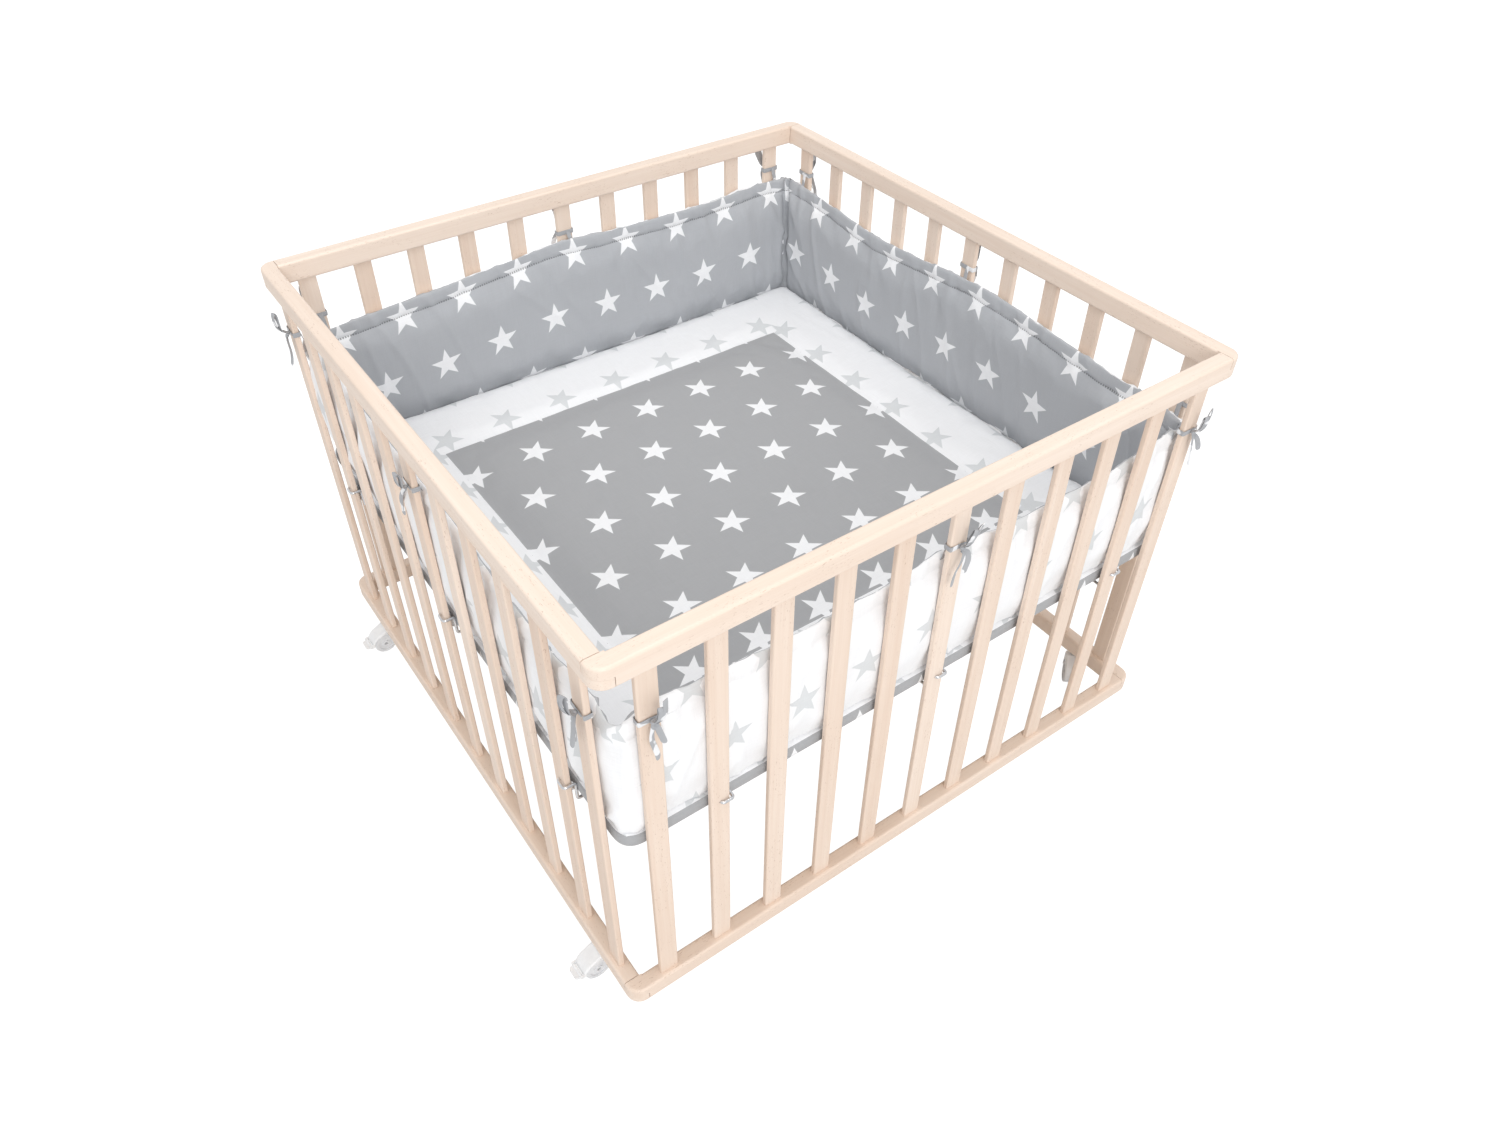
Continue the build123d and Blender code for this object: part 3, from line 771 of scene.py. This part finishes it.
# %% Cloth helper
def puff(piece, pinned, pressure, fuller, cap, frames):
    """Inflates a closed piece. fuller is the share by which the cloth exceeds its outline."""
    rest = [v.co.copy() for v in piece.data.vertices]
    group = piece.vertex_groups.new(name="seams")
    group.add([v.index for v in piece.data.vertices if pinned[v.index]], 1.0, "REPLACE")
    only(piece)
    bpy.ops.object.modifier_add(type="CLOTH")
    modifier = piece.modifiers[-1]
    cloth = modifier.settings
    cloth.quality = 4
    cloth.mass = 0.25
    cloth.tension_stiffness = cloth.compression_stiffness = 18
    cloth.shear_stiffness = 8
    cloth.bending_stiffness = 0.6
    cloth.vertex_group_mass = "seams"
    cloth.use_pressure = True
    cloth.uniform_pressure_force = pressure
    cloth.shrink_min = -fuller
    cloth.effector_weights.gravity = 0
    modifier.collision_settings.use_collision = False
    scene = bpy.context.scene
    for step in range(1, frames + 1):
        scene.frame_set(step)
    bpy.ops.object.modifier_apply(modifier=modifier.name)
    scene.frame_set(1)
    for v in piece.data.vertices:
        move = v.co - rest[v.index]
        if move.length > cap:
            v.co = rest[v.index] + move * (cap / move.length)
    piece.vertex_groups.clear()


def ripple(co, scale, seed):
    """Smooth seeded noise from -1 to 1."""
    return noise.noise(Vector((co[0] * scale + seed, co[1] * scale, co[2] * scale)))


print("cloth helper is ready")

# %% Puff the mat
SEAM_DEPTH = 0.0030
pinned = []
for v in mat.data.vertices:
    inwards = HALF_MAT - max(abs(v.co.x), abs(v.co.y))
    top = v.co.z > EDGE_TOP - 0.001
    seam = top and on_panel_seam(v.co.x, v.co.y)
    if top and not seam and inwards > RIM:
        v.co.z += 0.0012 * ripple(v.co, 9, 3.0)
    if seam:
        v.co.z -= SEAM_DEPTH
    pinned.append(seam or not top or inwards < RIM)
puff(mat, pinned, pressure=1.2, fuller=0.004, cap=0.006, frames=14)
rounded(mat, 1)
for v in mat.data.vertices:
    inwards = HALF_MAT - max(abs(v.co.x), abs(v.co.y))
    if v.co.z > EDGE_TOP + 0.006 and inwards > RIM:
        crossing = ripple(v.co, 8.0, 6.1)
        ridge = max(0.0, 1 - abs(crossing) * 5.0) ** 2
        v.co.z += 0.0007 * ridge + 0.0011 * ripple(v.co, 12.0, 9.4)
finished(mat, "quilted_mat", "base")
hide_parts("mat")

# %% [markdown]
# ## The bumper
#
# The bumper is one padded strip that runs round the mat and is sewn to its rim. Its top edge
# is a turned hem, held up where the ribbons pull it to a slat and slack in between. So its
# height changes along the way: the lists give the top edge at a few places on each side,
# and a smooth line runs through them.

# %% Top edge
TOP_EDGE = {              # distance along the side from its middle: height of the edge
    "front": [(-0.470, 0.606), (-0.458, 0.606), (-0.432, 0.619), (-0.40, 0.617), (-0.33, 0.611),
              (-0.22, 0.606), (-0.10, 0.607), (0.0, 0.620), (0.10, 0.606), (0.25, 0.600),
              (0.37, 0.607), (0.448, 0.618), (0.470, 0.612)],
    "right": [(-0.470, 0.612), (-0.41, 0.624), (-0.347, 0.624), (-0.265, 0.631), (-0.178, 0.639),
              (-0.041, 0.645), (0.006, 0.642), (0.105, 0.634), (0.211, 0.627), (0.268, 0.629),
              (0.327, 0.635), (0.388, 0.640), (0.470, 0.643)],
    "back": [(-0.470, 0.643), (-0.417, 0.648), (-0.324, 0.643), (-0.234, 0.641), (-0.148, 0.643),
             (-0.064, 0.645), (0.016, 0.649), (0.055, 0.648), (0.094, 0.644), (0.170, 0.639),
             (0.244, 0.631), (0.316, 0.627), (0.385, 0.622), (0.470, 0.617)],
    "left": [(-0.470, 0.617), (-0.448, 0.634), (-0.33, 0.622), (-0.18, 0.614), (0.0, 0.628),
             (0.16, 0.610), (0.32, 0.606), (0.430, 0.618), (0.458, 0.607), (0.470, 0.606)],
}


def top_edge(side, along):
    """Height of the bumper's top edge, on a smooth curve through the listed places."""
    places = TOP_EDGE[side]
    along = min(max(along, places[0][0]), places[-1][0])
    last = len(places) - 1
    here = next(i for i in range(last) if along <= places[i + 1][0])
    (a, za), (b, zb) = places[here], places[here + 1]
    before, after = places[max(here - 1, 0)], places[min(here + 2, last)]
    slope_a = (zb - before[1]) / (b - before[0]) * (b - a)
    slope_b = (after[1] - za) / (after[0] - a) * (b - a)
    t = (along - a) / (b - a)
    start = (1 + 2 * t) * (1 - t) ** 2 * za + t * (1 - t) ** 2 * slope_a
    return start + t * t * (3 - 2 * t) * zb + t * t * (t - 1) * slope_b


def side_of(x, y):
    """Which side of the pen a point is on, and how far along it from its middle."""
    if abs(y) >= abs(x):
        return ("front", x) if y < 0 else ("back", -x)
    return ("right", y) if x > 0 else ("left", -y)


print("top edge over the front's middle:", top_edge("front", 0.0))

# %% Bumper strip
BODY_ROWS = 18            # even rows of cells between the rim and the hem
HEM_DROPS = [0.0242, HEM, 0.0198, 0.0140, 0.0065, 0.0]     # depth of each further row
LAST_ROW = BODY_ROWS + len(HEM_DROPS) - 1
SEAM_ROW = BODY_ROWS + 1
SIDE_CUTS = 103
OUTER_ROUND = 0.020
OUTER_FACE = HALF_MAT - 0.0005
WALL = 0.013              # thickness of the strip before it is puffed
ROW_STEP = 0.01           # each row's height before the strip gets its form
bpy.ops.object.select_all(action="DESELECT")
bpy.ops.mesh.primitive_plane_add(size=2 * OUTER_FACE, location=(0, 0, 0))
bumper = bpy.context.object
bpy.ops.object.mode_set(mode="EDIT")
bpy.ops.mesh.select_all(action="SELECT")
bpy.ops.mesh.delete(type="ONLY_FACE")
bpy.ops.mesh.select_all(action="SELECT")
bpy.ops.mesh.bevel(affect="VERTICES", offset=OUTER_ROUND, offset_type="OFFSET", segments=5)
pick_edges(bumper, lambda middle, run: run.length > HALF_MAT)
bpy.ops.mesh.subdivide(number_cuts=SIDE_CUTS)
bpy.ops.mesh.select_all(action="SELECT")
for row in range(LAST_ROW):
    bpy.ops.mesh.extrude_edges_move(TRANSFORM_OT_translate={"value": (0, 0, ROW_STEP)})
bpy.ops.mesh.select_all(action="SELECT")
bpy.ops.mesh.normals_make_consistent(inside=False)
bpy.ops.object.mode_set(mode="OBJECT")
first = bumper.data.polygons[0]
if first.normal.dot(first.center) < 0:
    bumper.data.flip_normals()
modify(bumper, "SOLIDIFY", thickness=WALL, offset=-1)
WALL_COUNT = len(bumper.data.vertices)
OUTER_COUNT = WALL_COUNT // 2                  # the outer wall's vertices come first


def over_the_top(middle, run):
    """True for an edge that crosses the top of the strip from one wall to the other."""
    outwards = Vector((middle.x, middle.y, 0)).normalized()
    crosses = abs(run.normalized().dot(outwards)) > 0.65 and run.length > WALL * 0.8
    return crosses and middle.z > (LAST_ROW - 0.1) * ROW_STEP


# a line of points along the top lets each half of the edge have its own cloth
bpy.ops.object.mode_set(mode="EDIT")
pick_edges(bumper, over_the_top)
bpy.ops.mesh.subdivide(number_cuts=1)
bpy.ops.object.mode_set(mode="OBJECT")
print("bumper strip:", len(bumper.data.polygons), "faces,",
      len(bumper.data.vertices) - WALL_COUNT, "points along the top")


# %% [markdown]
# The flat strip is now given its form: rows move to their height, the hem's seam and the
# foot are pinched, and the strip sways a little between its ties, as slack cloth does. At
# the inner corners the filling folds, which leaves upright creases.

# %% Form the strip
FOOT_LIFT = 0.003         # the first row starts a little above the mat's rim
RIM_CROWN = 0.0012        # the line of points along the top stands a little proud
PINCH = {                 # row: share of the half thickness that each wall moves inwards
    0: 0.60, 1: 0.42, 2: 0.22, 3: 0.08, SEAM_ROW - 1: 0.16, SEAM_ROW: 0.86,
    SEAM_ROW + 1: 0.50, SEAM_ROW + 2: 0.46, SEAM_ROW + 3: 0.52, LAST_ROW: 0.70,
}


def strip_height(row, top):
    """Height of a row of vertices: even rows up to the hem, then the hem's own rows."""
    low = top - HEM_DROPS[0]
    if row < BODY_ROWS:
        return BUMPER_FOOT + FOOT_LIFT + (low - BUMPER_FOOT - FOOT_LIFT) * row / BODY_ROWS
    return top - HEM_DROPS[row - BODY_ROWS]


def inward(side):
    """The direction from a side of the strip to the middle of the pen."""
    return {"front": Vector((0, 1, 0)), "right": Vector((-1, 0, 0)),
            "back": Vector((0, -1, 0)), "left": Vector((1, 0, 0))}[side]


pinned = []
for v in bumper.data.vertices:
    row = round(v.co.z / ROW_STEP)
    outer = v.index < OUTER_COUNT
    side, along = side_of(v.co.x, v.co.y)
    top = top_edge(side, along)
    share = row / LAST_ROW
    to_corner = OUTER_FACE - abs(along)
    edge = min(1.0, to_corner / 0.06)
    # slack cloth sways in and out along the way, most at its top and not at the corners
    sway = 0.0034 * ripple((along, share * 0.4, SIDES.index(side) * 9.1), 7.0, 1.7)
    shift = edge * share * sway
    if v.index < WALL_COUNT:
        hem_outside = outer and BODY_ROWS <= row < LAST_ROW
        pinch = PINCH.get(row, 0.0) * (0.4 if hem_outside else 1)
        shift += (1 if outer else -1) * pinch * WALL / 2
        if not outer:
            crease = sin(to_corner * 2 * pi / 0.024) * exp(-max(0.0, to_corner - 0.02) / 0.022)
            shift += 0.0048 * crease * min(1.0, row / 3)
    v.co += inward(side) * shift
    v.co.z = strip_height(row, top) + (RIM_CROWN if v.index >= WALL_COUNT else 0.0)
    pinned.append(row < 2 or row >= SEAM_ROW)
print("top of the bumper:", round(max(v.co.z for v in bumper.data.vertices), 4))

# %% [markdown]
# The print on the inside starts at the hem, so the first row of stars runs over the seam.
# Every side is laid afresh from its own middle. The outer cloth is the white one, and the
# two cloths meet on top of the edge. The second map measures the depth for the stitches.

# %% Print on the bumper
INNER_REPEAT, OUTER_REPEAT = 0.107, 0.104
INNER_ROW = 0.023         # depth of the first row of stars inside
OUTER_ROWS = 0.110        # distance between the rows outside
INNER_PHASE = {"front": 0.0, "right": 0.054, "back": -0.003, "left": 0.020}
OUTER_PHASE = {"front": 0.035, "right": 0.010, "back": 0.0, "left": 0.044}


def along_side(co, side):
    return {"front": co.x, "right": co.y, "back": -co.x, "left": -co.y}[side]


def bumper_print(co, middle, face):
    side, _ = side_of(middle.x, middle.y)
    along = along_side(co, side)
    drop = top_edge(side, along) - co.z
    if face.material_index == 0:
        return (along - INNER_PHASE[side]) / INNER_REPEAT, (INNER_ROW - drop) / INNER_REPEAT
    return (along - OUTER_PHASE[side]) / OUTER_REPEAT, -drop / OUTER_ROWS


for material in (grey_cotton, white_cotton):
    bumper.data.materials.append(material)
for face in bumper.data.polygons:
    outer_corners = sum(1 for i in face.vertices if i < OUTER_COUNT)
    face.material_index = 1 if outer_corners >= 2 else 0
lay_print(bumper, bumper_print)
hem_map = bumper.data.uv_layers.new(name="hem")
for face in bumper.data.polygons:
    side, _ = side_of(face.center.x, face.center.y)
    for loop in face.loop_indices:
        co = bumper.data.vertices[bumper.data.loops[loop].vertex_index].co
        along = along_side(co, side)
        hem_map.data[loop].uv = (along, top_edge(side, along) - co.z)
print("print laid on the bumper")

# %% Puff the bumper
puff(bumper, pinned, pressure=1.6, fuller=0.012, cap=0.006, frames=16)
rounded(bumper, 1)
print("bumper after puffing:", len(bumper.data.polygons), "faces")


# %% [markdown]
# Sewing gathers the cloth: fine puckers run across the seam and the foot, and long soft
# wrinkles hang from the hem. They are pushed into the finished surface along its normals.

# %% Puckers and wrinkles
def wrinkles(along, drop, seed):
    """Height of the cloth's wrinkles at a place on one side of the bumper."""
    pucker = ripple((along, drop * 0.30, seed), 88.0, 5.2) * exp(-abs(drop - HEM) / 0.013)
    foot = ripple((along, drop * 0.25, seed), 60.0, 8.8) * exp(-max(0.0, 0.215 - drop) / 0.014)
    hang = ripple((along + drop * 0.35, drop * 0.22, seed), 19.0, 2.6)
    ridge = max(0.0, 1 - abs(hang) * 4.0) ** 2
    swell = ripple((along, drop * 0.8, seed), 11.0, 7.1)
    near_corner = exp(-max(0.0, 0.47 - abs(along)) / 0.09)
    folds = (0.0022 + 0.0034 * near_corner) * ridge
    return 0.0024 * pucker + 0.0012 * foot + folds + 0.0036 * swell


normals = [v.normal.copy() for v in bumper.data.vertices]
for v, normal in zip(bumper.data.vertices, normals):
    side, along = side_of(v.co.x, v.co.y)
    drop = top_edge(side, along) - v.co.z
    seed = SIDES.index(side) * 4.7 + (0 if normal.dot(inward(side)) > 0 else 2.1)
    ease = min(1.0, (OUTER_FACE - abs(along)) / 0.02)
    v.co += normal * wrinkles(along, drop, seed) * max(0.0, ease)
    v.co.z += 0.0013 * ripple((along, 0.0, seed), 62.0, 4.4) * exp(-max(0.0, drop) / 0.008)
finished(bumper, "padded_bumper", "base")
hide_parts(*[side + "_bumper" for side in SIDES])

# %% [markdown]
# ## Ribbon bows
#
# Each tie is a narrow folded ribbon: once round the slat, a knot beside its middle, two
# loops that stand up and two tails that hang down. A ribbon is drawn by extruding one short
# edge from place to place and then giving the strip thickness. The bow is modelled once at
# the origin, and each of the twelve copies is bent a little differently.

# %% Ribbon maker
def ribbon(places, widths, thick, wide):
    """A ribbon through the places. widths gives the direction of its width at each place."""
    bpy.ops.object.select_all(action="DESELECT")
    bpy.ops.mesh.primitive_plane_add(size=0.001, location=(0, 0, 0))
    strip = bpy.context.object
    corners = [strip.data.vertices[i] for i in strip.data.polygons[0].vertices]
    sides = [(0, -1), (0, 1), (1, 1), (1, -1)]
    for v, (place, sign) in zip(corners, sides):
        v.co = Vector(places[place]) + Vector(widths[place]) * sign * wide / 2
    leading_edge = [corners[3].index, corners[2].index]
    bpy.ops.object.mode_set(mode="EDIT")
    bpy.ops.mesh.select_mode(type="VERT")
    bpy.ops.mesh.select_all(action="DESELECT")
    mesh = bmesh.from_edit_mesh(strip.data)
    mesh.verts.ensure_lookup_table()
    for i in leading_edge:
        mesh.verts[i].select_set(True)
    mesh.select_flush(True)
    bmesh.update_edit_mesh(strip.data)
    for number in range(2, len(places)):
        move = Vector(places[number]) - Vector(places[number - 1])
        bpy.ops.mesh.extrude_region_move(TRANSFORM_OT_translate={"value": move})
        mesh = bmesh.from_edit_mesh(strip.data)
        middle, last = Vector(places[number]), Vector(widths[number - 1])
        for v in [v for v in mesh.verts if v.select]:
            sign = 1 if (v.co - middle).dot(last) > 0 else -1
            v.co = middle + Vector(widths[number]) * sign * wide / 2
        bmesh.update_edit_mesh(strip.data)
    bpy.ops.object.mode_set(mode="OBJECT")
    modify(strip, "SOLIDIFY", thickness=thick, offset=0)
    rounded(strip, 2)
    return strip


def millimetres(rows):
    """Places written in millimetres, given back in metres."""
    return [tuple(value / 1000 for value in row) for row in rows]


def joined(pieces):
    """Makes one object of several; the first one takes in the others."""
    only(pieces[0])
    for piece in pieces:
        piece.select_set(True)
    bpy.ops.object.join()
    return pieces[0]


print("ribbon maker is ready")

# %% One bow
WIDE, THICK = 0.0085, 0.0011
KNOT_X = 0.001            # the knot sits a little right of the slat's middle
RING_ROOM = 0.0014        # from the slat's face to the middle of the ribbon round it
RING_BEND = 0.002         # radius of the ring's corners
ring_half_x = SLAT_HALF_WIDTH + RING_ROOM
ring_half_y = SLAT_HALF_THICK + RING_ROOM
ring = []
for corner, (sx, sy) in enumerate([(1, -1), (1, 1), (-1, 1), (-1, -1)]):
    for step in range(4):
        turn = -pi / 2 + corner * pi / 2 + step * pi / 6
        ring.append((sx * (ring_half_x - RING_BEND) + RING_BEND * cos(turn),
                     sy * (ring_half_y - RING_BEND) + RING_BEND * sin(turn), 0))
ring.append(ring[0])
ring_piece = ribbon(ring, [(0, 0, 1)] * len(ring), THICK, WIDE)

right_loop = millimetres([(0, 0, 0), (2, -5, 2), (4, -9, 7), (7, -10, 18), (9.5, -10.5, 30),
                          (11, -11.5, 39), (10, -14.5, 43), (8, -16, 38), (6, -15.5, 28),
                          (4, -14, 16), (2, -10, 6), (1, -4, 2)])
left_loop = millimetres([(0, 0, 0), (-0.5, -5, 2), (0, -9, 6), (1, -10, 14), (2, -10.5, 24),
                         (3, -11.5, 32), (3, -14.5, 35), (1.5, -16, 30), (0, -15, 21),
                         (-1, -12.5, 11), (-0.5, -6, 3)])
left_tail = millimetres([(0, -2, 0), (-1.5, -5, -8), (-3, -6, -20), (-3.5, -6, -33),
                         (-3, -7, -46), (-4, -9, -56)])
right_tail = millimetres([(1, -2, -1), (4, -6, -7), (7, -8, -17), (9, -8, -27), (8, -10, -35)])
parts = [ring_piece]
leans = (0.30, -0.35, 0.25, -0.45)             # how far each one turns its flat face
for path, lean in zip((right_loop, left_loop, left_tail, right_tail), leans):
    path = [(x + KNOT_X, y - ring_half_y - 0.001, z) for x, y, z in path]
    parts.append(ribbon(path, [Vector((cos(lean), sin(lean), 0))] * len(path), THICK, WIDE))
bpy.ops.mesh.primitive_cube_add(size=0.009, location=(KNOT_X, -ring_half_y - 0.0035, 0))
knot = bpy.context.object
knot.scale = (1.0, 0.75, 0.85)
bpy.ops.object.transform_apply(location=True, rotation=True, scale=True)
rounded(knot, 2)
bow = joined([knot] + parts)
print("bow:", len(bow.data.polygons), "faces")

# %% [markdown]
# The copies go to the first, middle and last slat of each side. A strap leads from each one
# down to the hem, because the ribbon is sewn to the bumper's top edge.

# %% Twelve bows
TIES = {                  # slat's place along its side: height of the ribbon round it
    "front": {-0.4465: 0.625, 0.0: 0.645, 0.4465: 0.634},
    "right": {-0.4465: 0.634, 0.0: 0.656, 0.4465: 0.660},
    "back": {-0.4465: 0.664, 0.0: 0.658, 0.4465: 0.640},
    "left": {-0.4465: 0.652, 0.0: 0.642, 0.4465: 0.624},
}
STRAP_HALF = 0.006        # the strap's first stretch lies this far below its middle


def bend_bow(copy, seed):
    """Swings a bow's loops and tails round its knot and lets them waver."""
    for v in copy.data.vertices:
        far = hypot(v.co.x - KNOT_X, v.co.z)
        if v.co.y < -ring_half_y - 0.0012 and far > 0.006:
            swing = 0.22 * sin(seed * 2.3) * min(1.0, far / 0.03)
            dx, dz = v.co.x - KNOT_X, v.co.z
            v.co.x = KNOT_X + dx * cos(swing) - dz * sin(swing)
            v.co.z = dx * sin(swing) + dz * cos(swing)
            v.co.x += 0.0022 * sin(seed + v.co.z * 90)
            v.co.y -= 0.0015 * (1 + sin(seed * 1.7 + v.co.z * 70))


for quarter, side in enumerate(SIDES):
    pieces = []
    for number, (along, height) in enumerate(TIES[side].items()):
        hem = top_edge(side, along) - STRAP_HALF
        strap = ribbon([(along - 0.006, -OUTER_FACE + 0.004, hem - STRAP_HALF),
                        (along - 0.006, -OUTER_FACE - 0.0008, hem),
                        (along - 0.005, -OUTER_FACE - 0.0022, (hem + height) / 2),
                        (along - 0.004, SLAT_MIDDLE + ring_half_y + 0.0012, height - 0.001),
                        (along - 0.004, SLAT_MIDDLE + ring_half_y + 0.0010, height + 0.003)],
                       [(1, 0, 0)] * 5, THICK, WIDE)
        copy = bow.copy()
        copy.data = bow.data.copy()
        bpy.context.collection.objects.link(copy)
        bend_bow(copy, quarter * 3.7 + number * 1.9)
        copy.data.transform(Matrix.Translation((along, SLAT_MIDDLE, height)))
        pieces += [strap, copy]
    tie = joined(pieces)
    tie.data.transform(Matrix.Rotation(quarter * pi / 2, 4, "Z"))
    tie.data.materials.append(ribbon_finish)
    finished(tie, side + "_bows", "base")
    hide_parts(side + "_ties")
bpy.data.objects.remove(bow)
